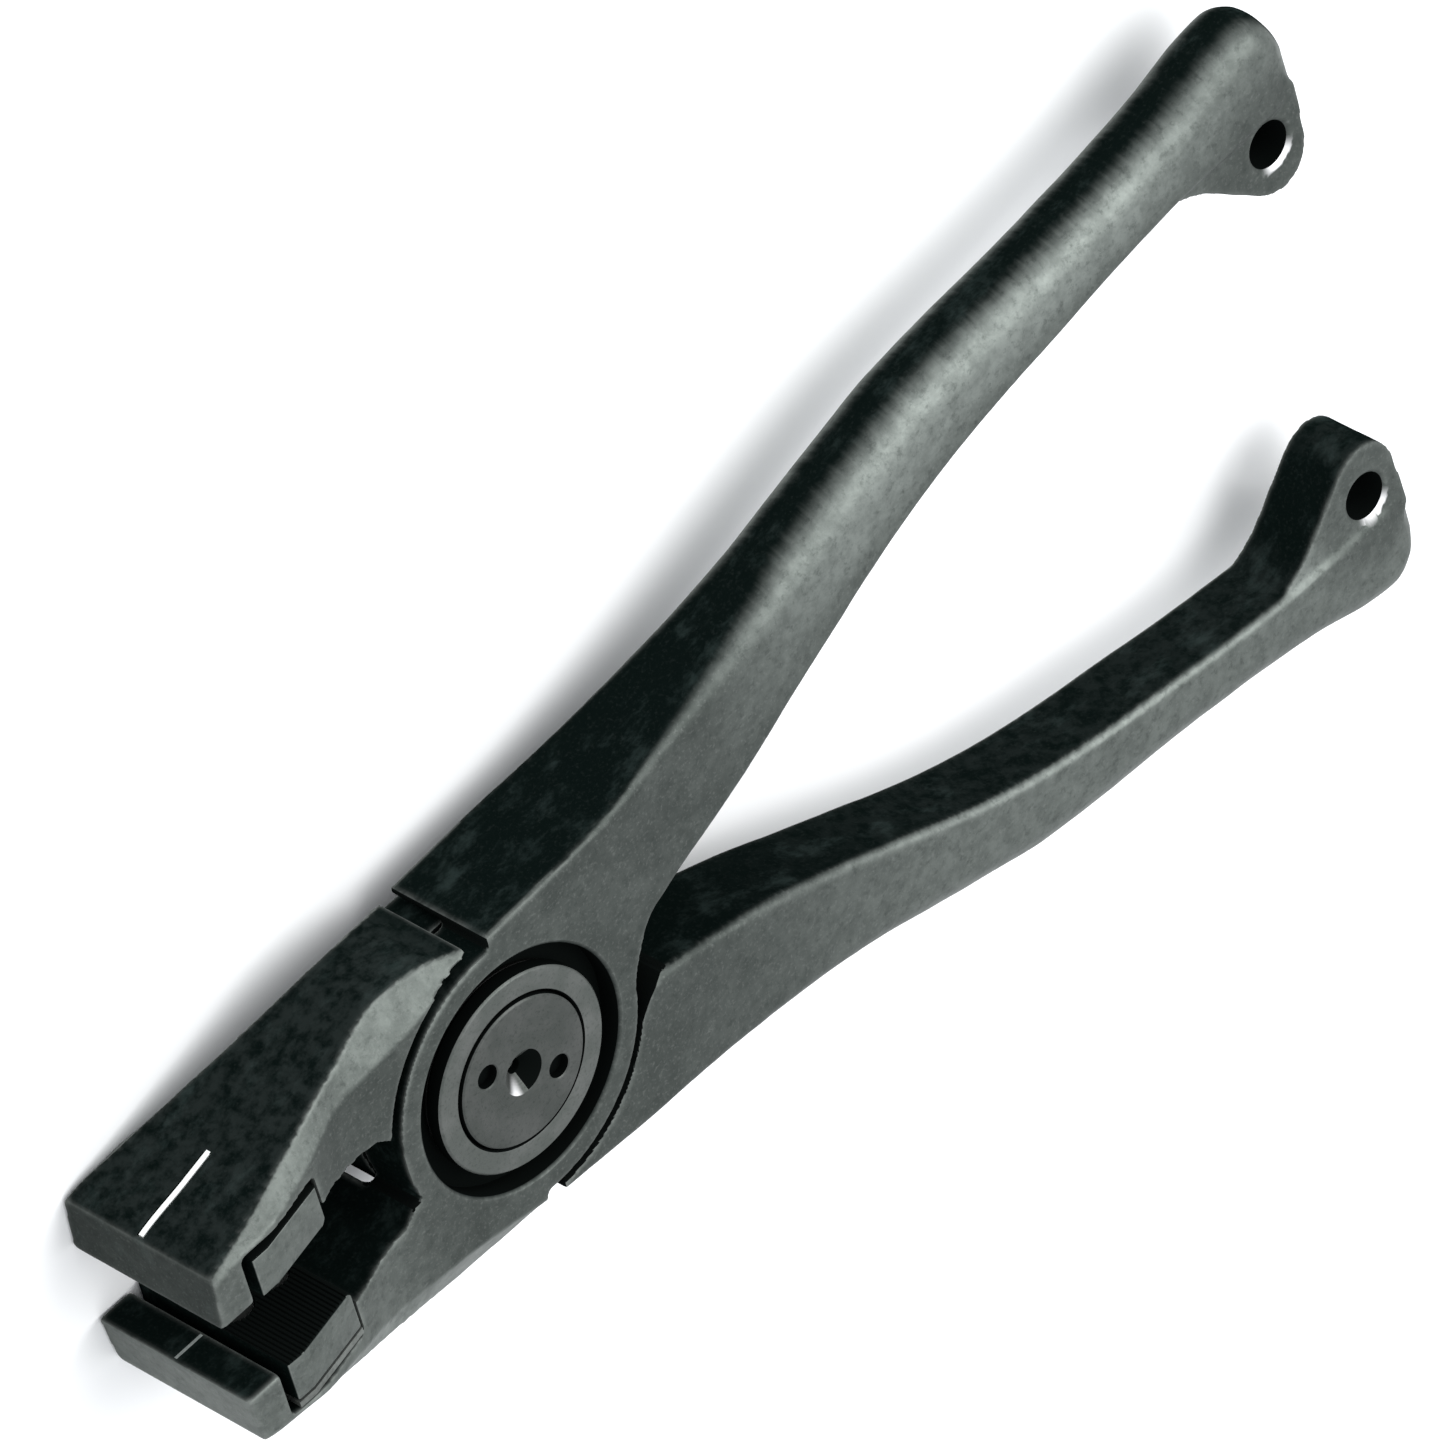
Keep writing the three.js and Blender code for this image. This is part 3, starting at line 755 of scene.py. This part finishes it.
def pivot_nut():
    bore = SHANK_R + CLEAR
    body = turned([(bore, HEAD_BASE), (HEAD_R, HEAD_BASE), (HEAD_R, HEAD_TOP), (bore, HEAD_TOP)], 0.3)
    cut(body, *spanner_holes(NUT_SPANNER_R, SPANNER_ANGLE + math.pi / 2))
    return cut(half_turn(body), lock_screw_hole())


def collar():
    """The flat ring round the head, which presses the spring washer on the hub's recess."""
    seat = HEAD_BASE - 0.3
    return turned([(SHANK_R + CLEAR, COLLAR_BASE), (COLLAR_R, COLLAR_BASE),
                   (COLLAR_R, HUB_FACE - 0.4), (COLLAR_R - 0.4, HUB_FACE),
                   (HEAD_R + CLEAR + 0.35, HUB_FACE), (HEAD_R + CLEAR, HUB_FACE - 0.5),
                   (HEAD_R + CLEAR, seat), (SHANK_R + CLEAR, seat)], 0.12)


def spring_washer():
    base = RECESS_FLOOR + 0.3
    return turned([(14.4, base + 0.4), (18.4, base), (18.4, base + 0.6), (14.4, base + 1)], 0.1)


def lock_screw():
    body = disc(LOCK_SCREW_R, -HEAD_TOP, -HEAD_BASE, 48, 0.1)
    slot_cut = block((-2, -0.25, -FAR), (2, 0.25, -HEAD_TOP + 0.7))
    return shifted(cut(body, slot_cut), SHANK_R + 0.15)


# ---- materials ----

class Tree:
    """A material's nodes, made by short calls."""

    def __init__(self, name):
        self.material = bpy.data.materials.new(name)
        self.material.use_nodes = True
        self.nodes = self.material.node_tree.nodes
        self.links = self.material.node_tree.links
        self.nodes.clear()
        self.shader = self.add("ShaderNodeBsdfPrincipled")
        out = self.add("ShaderNodeOutputMaterial")
        self.links.new(self.shader.outputs[0], out.inputs[0])
        self.place = self.add("ShaderNodeTexCoord").outputs["Object"]

    def add(self, kind, inputs=None, **settings):
        made = self.nodes.new(kind)
        for key, value in settings.items():
            setattr(made, key, value)
        for key, value in (inputs or {}).items():
            self.set(made.inputs[key], value)
        return made

    def set(self, socket, value):
        if isinstance(value, bpy.types.NodeSocket):
            self.links.new(value, socket)
        else:
            socket.default_value = value

    def shade(self, **inputs):
        for key, value in inputs.items():
            self.set(self.shader.inputs[key.replace("_", " ")], value)

    def math(self, operation, a, b):
        return self.add("ShaderNodeMath", {0: a, 1: b}, operation=operation).outputs[0]

    def ramp(self, value, low, high, to_low=0.0, to_high=1.0):
        made = self.add("ShaderNodeMapRange", {"Value": value, "From Min": low, "From Max": high,
                                               "To Min": to_low, "To Max": to_high},
                        interpolation_type="SMOOTHSTEP")
        return made.outputs[0]

    def mix(self, amount, a, b):
        made = self.add("ShaderNodeMix", {0: amount, 6: a, 7: b}, data_type="RGBA")
        return made.outputs[2]

    def blend(self, amount, a, b):
        made = self.add("ShaderNodeMix", {0: amount, 2: a, 3: b}, data_type="FLOAT")
        return made.outputs[0]

    def noise(self, scale, detail=3.0, rough=0.55, stretch=(1, 1, 1)):
        where = self.add("ShaderNodeVectorMath", {0: self.place, 1: stretch}, operation="MULTIPLY")
        made = self.add("ShaderNodeTexNoise", {"Vector": where.outputs[0], "Scale": scale,
                                               "Detail": detail, "Roughness": rough})
        return made.outputs["Fac"]

    def attribute(self, name):
        return self.add("ShaderNodeAttribute", attribute_name=name).outputs["Fac"]

    def bump(self, *layers):
        """Layers are (height, depth in metres)."""
        normal = None
        for height, depth in layers:
            inputs = {"Height": height, "Distance": depth, "Strength": 1.0}
            if normal is not None:
                inputs["Normal"] = normal
            normal = self.add("ShaderNodeBump", inputs).outputs[0]
        self.shade(Normal=normal)


def grey(level, green=1.0, blue=1.0):
    return (level, level * green, level * blue, 1)


def scale_colour(t, patch, mottle, grain):
    """The black scale that the forging came with, dusty where nothing rubs it."""
    scale = t.mix(t.ramp(patch, 0.5, 0.75), grey(0.0025, 1.9, 1.7), grey(0.014, 1.5, 1.4))
    dusty = t.math("MULTIPLY", t.attribute("dusty"), t.ramp(mottle, 0.35, 0.65))
    scale = t.mix(dusty, scale, grey(0.05, 1.2, 1.15))
    return t.mix(t.ramp(grain, 0.5, 0.8, 0, 0.5), scale, grey(0.014, 1.3, 1.2))


def rubbed_colour(t, broad, mottle, pits, grain):
    """Grey steel showing through, brighter where hands polish it and where a highlight is painted,
    with dark pits left.
    """
    rubbed = t.mix(t.attribute("polish_and_highlight"), grey(0.055, 1.13, 1.04), grey(0.2, 1.1, 1.02))
    rubbed = t.mix(t.ramp(broad, 0.35, 0.65, 0, 0.15), rubbed, grey(0.16, 1.1, 1.03))
    rubbed = t.mix(t.ramp(mottle, 0.3, 0.7, 0.35, 0), rubbed, grey(0.02, 1.25, 1.15))
    rubbed = t.mix(t.ramp(pits, 0.5, 0.72, 0, 0.45), rubbed, grey(0.03, 1.2, 1.1))
    return t.mix(t.ramp(grain, 0.5, 0.8, 0, 0.3), rubbed, grey(0.2, 1.05, 1))


def forged_steel():
    """Blackened forging: dark scale on backs and inner faces, rubbed grey on the flat sides together
    with painted light on upturned faces, painted highlights, and painted shade in recesses and gaps.
    """
    t = Tree("blackened_forging")
    broad = t.noise(60, 4, 0.6)
    patch = t.noise(170, 5, 0.7, stretch=(0.6, 1, 1))
    mottle = t.noise(330, 4, 0.65)
    pits = t.noise(620, 4, 0.7)
    across = t.noise(900, 2, 0.5, stretch=(1, 0.06, 0.06))
    grain = t.noise(1500, 3, 0.6)
    # Comb streaks break the edge of the side mask on the round backs; side is rubbed grey steel
    # together with painted light.
    comb = t.math("MULTIPLY", t.math("SUBTRACT", across, 0.5), t.attribute("ragged"))
    side = t.ramp(t.math("ADD", t.attribute("rubbed_and_painted_light"), t.math("MULTIPLY", comb, 0.32)), 0, 1)

    scale = scale_colour(t, patch, mottle, grain)
    colour = t.mix(side, scale, rubbed_colour(t, broad, mottle, pits, grain))
    bare = t.math("MULTIPLY", t.attribute("worn"), t.ramp(t.noise(260, 4, 0.7), 0.3, 0.6, 0.35, 1))
    colour = t.mix(t.math("MULTIPLY", bare, 0.28), colour, grey(0.34, 1.06, 1))
    # Painted highlight: a bright grey patch where the highlight mask is set.
    colour = t.mix(t.attribute("painted_highlight"), colour, grey(0.7))
    painted_shade = t.attribute("painted_shade")
    metal = t.math("MAXIMUM", t.blend(side, 0.0, 0.6), t.math("MULTIPLY", bare, 0.4))
    rough = t.blend(side, t.ramp(patch, 0.4, 0.7, 0.5, 0.45), t.ramp(broad, 0.3, 0.7, 0.4, 0.5))
    uneven = t.math("MULTIPLY", t.math("SUBTRACT", grain, 0.5), 0.25)
    # Painted shade: near-black, non-metal colour in recesses, gaps and bores.
    t.shade(Base_Color=t.mix(painted_shade, colour, grey(0.004, 1.3, 1.2)))
    t.shade(Metallic=t.blend(painted_shade, metal, 0.0), Roughness=t.math("ADD", rough, uneven))
    t.shade(Specular_IOR_Level=0.0)
    t.bump((broad, 0.00025), (pits, 0.00004), (across, 0.00003), (grain, 0.00002))
    return t.material


def turned_steel(name, base, rough):
    """Blackened turned steel with fine rings round the pivot axis, painted shade in holes and seams,
    and a painted highlight in the countersink.
    """
    t = Tree(name)
    centre = (PIVOT.x, PIVOT.y, 0)
    off = t.add("ShaderNodeVectorMath", {0: t.place, 1: centre}, operation="SUBTRACT").outputs[0]
    flat = t.add("ShaderNodeVectorMath", {0: off, 1: (1, 1, 0)}, operation="MULTIPLY").outputs[0]
    radius = t.add("ShaderNodeVectorMath", {0: flat}, operation="LENGTH").outputs["Value"]
    rings = t.add("ShaderNodeTexNoise", {"W": radius, "Scale": 5200.0, "Detail": 2.0},
                  noise_dimensions="1D").outputs["Fac"]
    broad = t.noise(140, 4, 0.6)
    grain = t.noise(1700, 3, 0.6)
    worn = t.attribute("worn")
    colour = t.mix(t.ramp(broad, 0.35, 0.7), grey(base, 1.1, 1.02), grey(base * 1.4, 1.05, 1))
    colour = t.mix(t.ramp(grain, 0.5, 0.75, 0, 0.45), colour, grey(base * 0.45, 1.15, 1.05))
    bare = t.math("MULTIPLY", worn, t.ramp(t.noise(400, 3), 0.3, 0.6, 0.4, 1))
    colour = t.mix(t.math("MULTIPLY", bare, 0.4), colour, grey(0.4, 1.02, 1))
    # Painted shade: near-black in holes, on outer walls and in seams.
    painted_shade = t.attribute("painted_shade")
    colour = t.mix(painted_shade, colour, grey(0.003, 1.3, 1.2))
    # Painted highlight: a bright grey patch in the countersink.
    colour = t.mix(t.attribute("painted_highlight"), colour, grey(0.8))
    t.shade(Base_Color=colour, Metallic=t.blend(painted_shade, 0.65, 0.0), Specular_IOR_Level=0.0)
    t.shade(Roughness=t.ramp(rings, 0.3, 0.7, rough - 0.05, rough + 0.08))
    t.bump((rings, 0.00002), (broad, 0.00005), (grain, 0.00001))
    return t.material


def plain_steel(name, base, rough, metal):
    """Hardened or drawn steel with straight finishing lines."""
    t = Tree(name)
    green = 1.08
    streak = t.noise(1300, 3, 0.5, stretch=(1, 1, 0.08))
    broad = t.noise(160, 4, 0.6)
    worn = t.attribute("worn")
    colour = t.mix(t.ramp(broad, 0.35, 0.7), grey(base, green), grey(base * 1.5, green))
    colour = t.mix(t.ramp(streak, 0.45, 0.75, 0, 0.5), colour, grey(base * 0.55, green))
    bare = t.math("MULTIPLY", worn, t.ramp(t.noise(500, 3), 0.3, 0.6, 0.4, 1))
    colour = t.mix(t.math("MULTIPLY", bare, 0.7), colour, grey(0.45, 1.02))
    t.shade(Base_Color=colour, Metallic=metal, Specular_IOR_Level=0.3)
    t.shade(Roughness=t.ramp(streak, 0.3, 0.7, rough - 0.05, rough + 0.1))
    t.bump((streak, 0.00002), (broad, 0.00004))
    return t.material


def bronze():
    t = Tree("bearing_bronze_oiled")
    broad = t.noise(220, 4, 0.6)
    colour = t.mix(t.ramp(broad, 0.35, 0.7), (0.3, 0.16, 0.06, 1), (0.5, 0.3, 0.12, 1))
    t.shade(Base_Color=colour, Metallic=0.9, Roughness=t.ramp(broad, 0.3, 0.7, 0.3, 0.45))
    t.bump((t.noise(2500, 2), 0.00001))
    return t.material


def enamel(name, colour, worn_to):
    """Paint wiped into a groove, thin in places."""
    t = Tree(name)
    thin = t.noise(900, 4, 0.65)
    t.shade(Base_Color=t.mix(t.ramp(thin, 0.55, 0.72, 0, 0.7), colour, worn_to))
    t.shade(Roughness=t.ramp(thin, 0.3, 0.7, 0.4, 0.6), Specular_IOR_Level=0.4)
    t.bump((thin, 0.00005))
    return t.material


# ---- placing pieces ----

SHARP_DEGREES = 35  # an edge that bends more is shaded as a crease


def finish_mesh(obj, name, material, body, node=None):
    """Moves the shape to its place in metres and tells the frame what it is."""
    mesh = obj.data
    if "worn" not in mesh.attributes:
        put_attribute(mesh, "worn", worn_edges(mesh, 0.5, 2.5, rounds=0))
    moved(obj, Matrix.Translation(PIVOT) @ Matrix.Scale(MM, 4))
    mesh.shade_smooth()
    mesh.set_sharp_from_angle(angle=math.radians(SHARP_DEGREES))
    mesh.materials.clear()
    mesh.materials.append(material)
    obj.name = mesh.name = name
    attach(obj, body)
    if node:
        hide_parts(node)


STEEL = forged_steel()
TURNED = turned_steel("turned_collar_steel", 0.082, 0.42)
HEAD = turned_steel("turned_bolt_steel", 0.056, 0.42)
SCREWS = plain_steel("screw_steel_black", 0.03, 0.42, metal=0.5)
PACKING = plain_steel("packing_plate_steel", 0.1, 0.42, metal=0.5)
SPRING = plain_steel("spring_steel_oiled", 0.004, 0.45, metal=0.3)
BRONZE = bronze()
WHITE = enamel("white_enamel_line", (0.75, 0.77, 0.75, 1), (0.55, 0.58, 0.56, 1))
FAINT = enamel("rubbed_line", (0.2, 0.22, 0.21, 1), (0.1, 0.12, 0.11, 1))

upper = forging()
lower = half_turn(copied(upper))
cut(upper, index_groove())
for lever, side, body, node in ((upper, "upper", UPPER, "lever_a_upper_jaw"),
                                (lower, "lower", LOWER, "lever_b_lower_jaw")):
    dress(lever)
    finish_mesh(lever, f"{side}_jaw_forging", STEEL, body, node)

finish_mesh(index_line(), "index_line_enamel", WHITE, UPPER, "index_line_inlay")
finish_mesh(lip_line(), "lower_lip_centre_line", FAINT, LOWER)

for side, body, place in (("upper", UPPER, as_drawn), ("lower", LOWER, half_turn)):
    gripper = place(insert_block())
    dress_insert(gripper)
    finish_mesh(gripper, f"{side}_insert_serrated", STEEL, body,
                f"{side}_grip_insert")
    for end, x in SCREW_XS.items():
        finish_mesh(place(screw(x)), f"{side}_socket_screw_{end}", SCREWS, body,
                    f"{side}_insert_screw_{end}")

bolt = pivot_bolt()
dress_turned(bolt, HEAD_R - 0.15, HEAD_R)
finish_mesh(bolt, "pivot_bolt_turned", HEAD, LOWER, "pivot_bolt")
finish_mesh(pivot_nut(), "pivot_nut_turned", HEAD, LOWER, "pivot_nut")
finish_mesh(lock_screw(), "nut_lock_screw_slotted", SCREWS, LOWER,
            "nut_lock_screw")
for side, place in (("near", as_drawn), ("far", half_turn)):
    seat = place(collar())
    dress_turned(seat, HEAD_R, HEAD_R + CLEAR + 0.33)
    finish_mesh(seat, f"{side}_collar_turned", TURNED, LOWER,
                f"{side}_collar")
    finish_mesh(place(spring_washer()), f"{side}_spring_washer_pressed", SPRING, LOWER,
                f"{side}_spring_washer")

# The upper packing takes the dark screw steel as painted shade, where it sits in the jaw's gap; the
# lower packing is mid grey.
for name, material in (("upper_insert_packing", SCREWS), ("lower_insert_packing", PACKING),
                       ("near_pivot_bush", BRONZE), ("far_pivot_bush", BRONZE),
                       ("lap_thrust_washer", BRONZE), ("bolt_dowel", SPRING)):
    kept = frame["nodes"][name]
    kept.data.materials.clear()
    kept.data.materials.append(material)

# ---- stage ----

FLOOR_GAP = 0.0002  # keeps the floor off the faces that rest on it


def floor():
    bm = bmesh.new()
    bmesh.ops.create_grid(bm, x_segments=4, y_segments=4, size=8)
    made = from_bmesh(bm, "floor")
    t = Tree("pale_floor")
    cloud = t.noise(3, 2, 0.5)
    t.shade(Base_Color=t.mix(cloud, (0.86, 0.87, 0.87, 1), (0.9, 0.9, 0.9, 1)))
    t.shade(Roughness=0.9, Specular_IOR_Level=0.1)
    made.data.materials.append(t.material)
    made.location.z = cad_box[0][2] - FLOOR_GAP


def softbox(name, direction, distance, size, radiance):
    """A square panel that faces the tool from the given direction."""
    data = bpy.data.lights.new(name, "AREA")
    data.size = size
    data.energy = radiance * math.pi * size * size
    lamp = new_object(name, data)
    way = Vector(direction).normalized()
    lamp.location = AIM + way * distance
    lamp.rotation_mode = "QUATERNION"
    lamp.rotation_quaternion = way.to_track_quat("Z", "Y")


def camera(azimuth, elevation, roll, distance, lens):
    a, e, r = (math.radians(v) for v in (azimuth, elevation, roll))
    back = Vector((math.sin(a) * math.cos(e), -math.cos(a) * math.cos(e), math.sin(e)))
    level_up = (Vector((0, 0, 1)) - back * back.z).normalized()
    up = level_up * math.cos(r) + level_up.cross(back) * math.sin(r)
    right = up.cross(back)
    data = bpy.data.cameras.new("camera")
    data.lens, data.sensor_width = lens, 36
    data.clip_start, data.clip_end = 0.1, 50
    made = new_object("camera", data)
    turn = Matrix((right, up, back)).transposed().to_4x4()
    made.matrix_world = Matrix.Translation(AIM + back * distance) @ turn
    bpy.context.scene.camera = made


AIM = PIVOT + Vector((60.47, 28.99, 9.07)) * MM  # what the camera looks at, between the handles
floor()
softbox("overhead", (0.42, 0.42, 0.8), distance=1.4, size=1.2, radiance=3.7)
softbox("top", (0.0, -0.2, 1.0), distance=1.6, size=1.6, radiance=0.6)
softbox("front", (-0.9, -0.2, 0.35), distance=1.6, size=0.6, radiance=0.7)
world = bpy.data.worlds.new("studio")
world.use_nodes = True
sky = world.node_tree.nodes["Background"].inputs
sky["Color"].default_value = (0.95, 0.97, 1, 1)
sky["Strength"].default_value = 1.15
bpy.context.scene.world = world
bpy.context.scene.view_settings.view_transform = "Standard"
camera(azimuth=211.583, elevation=37.549, roll=-117.603, distance=3.26422, lens=491.5)
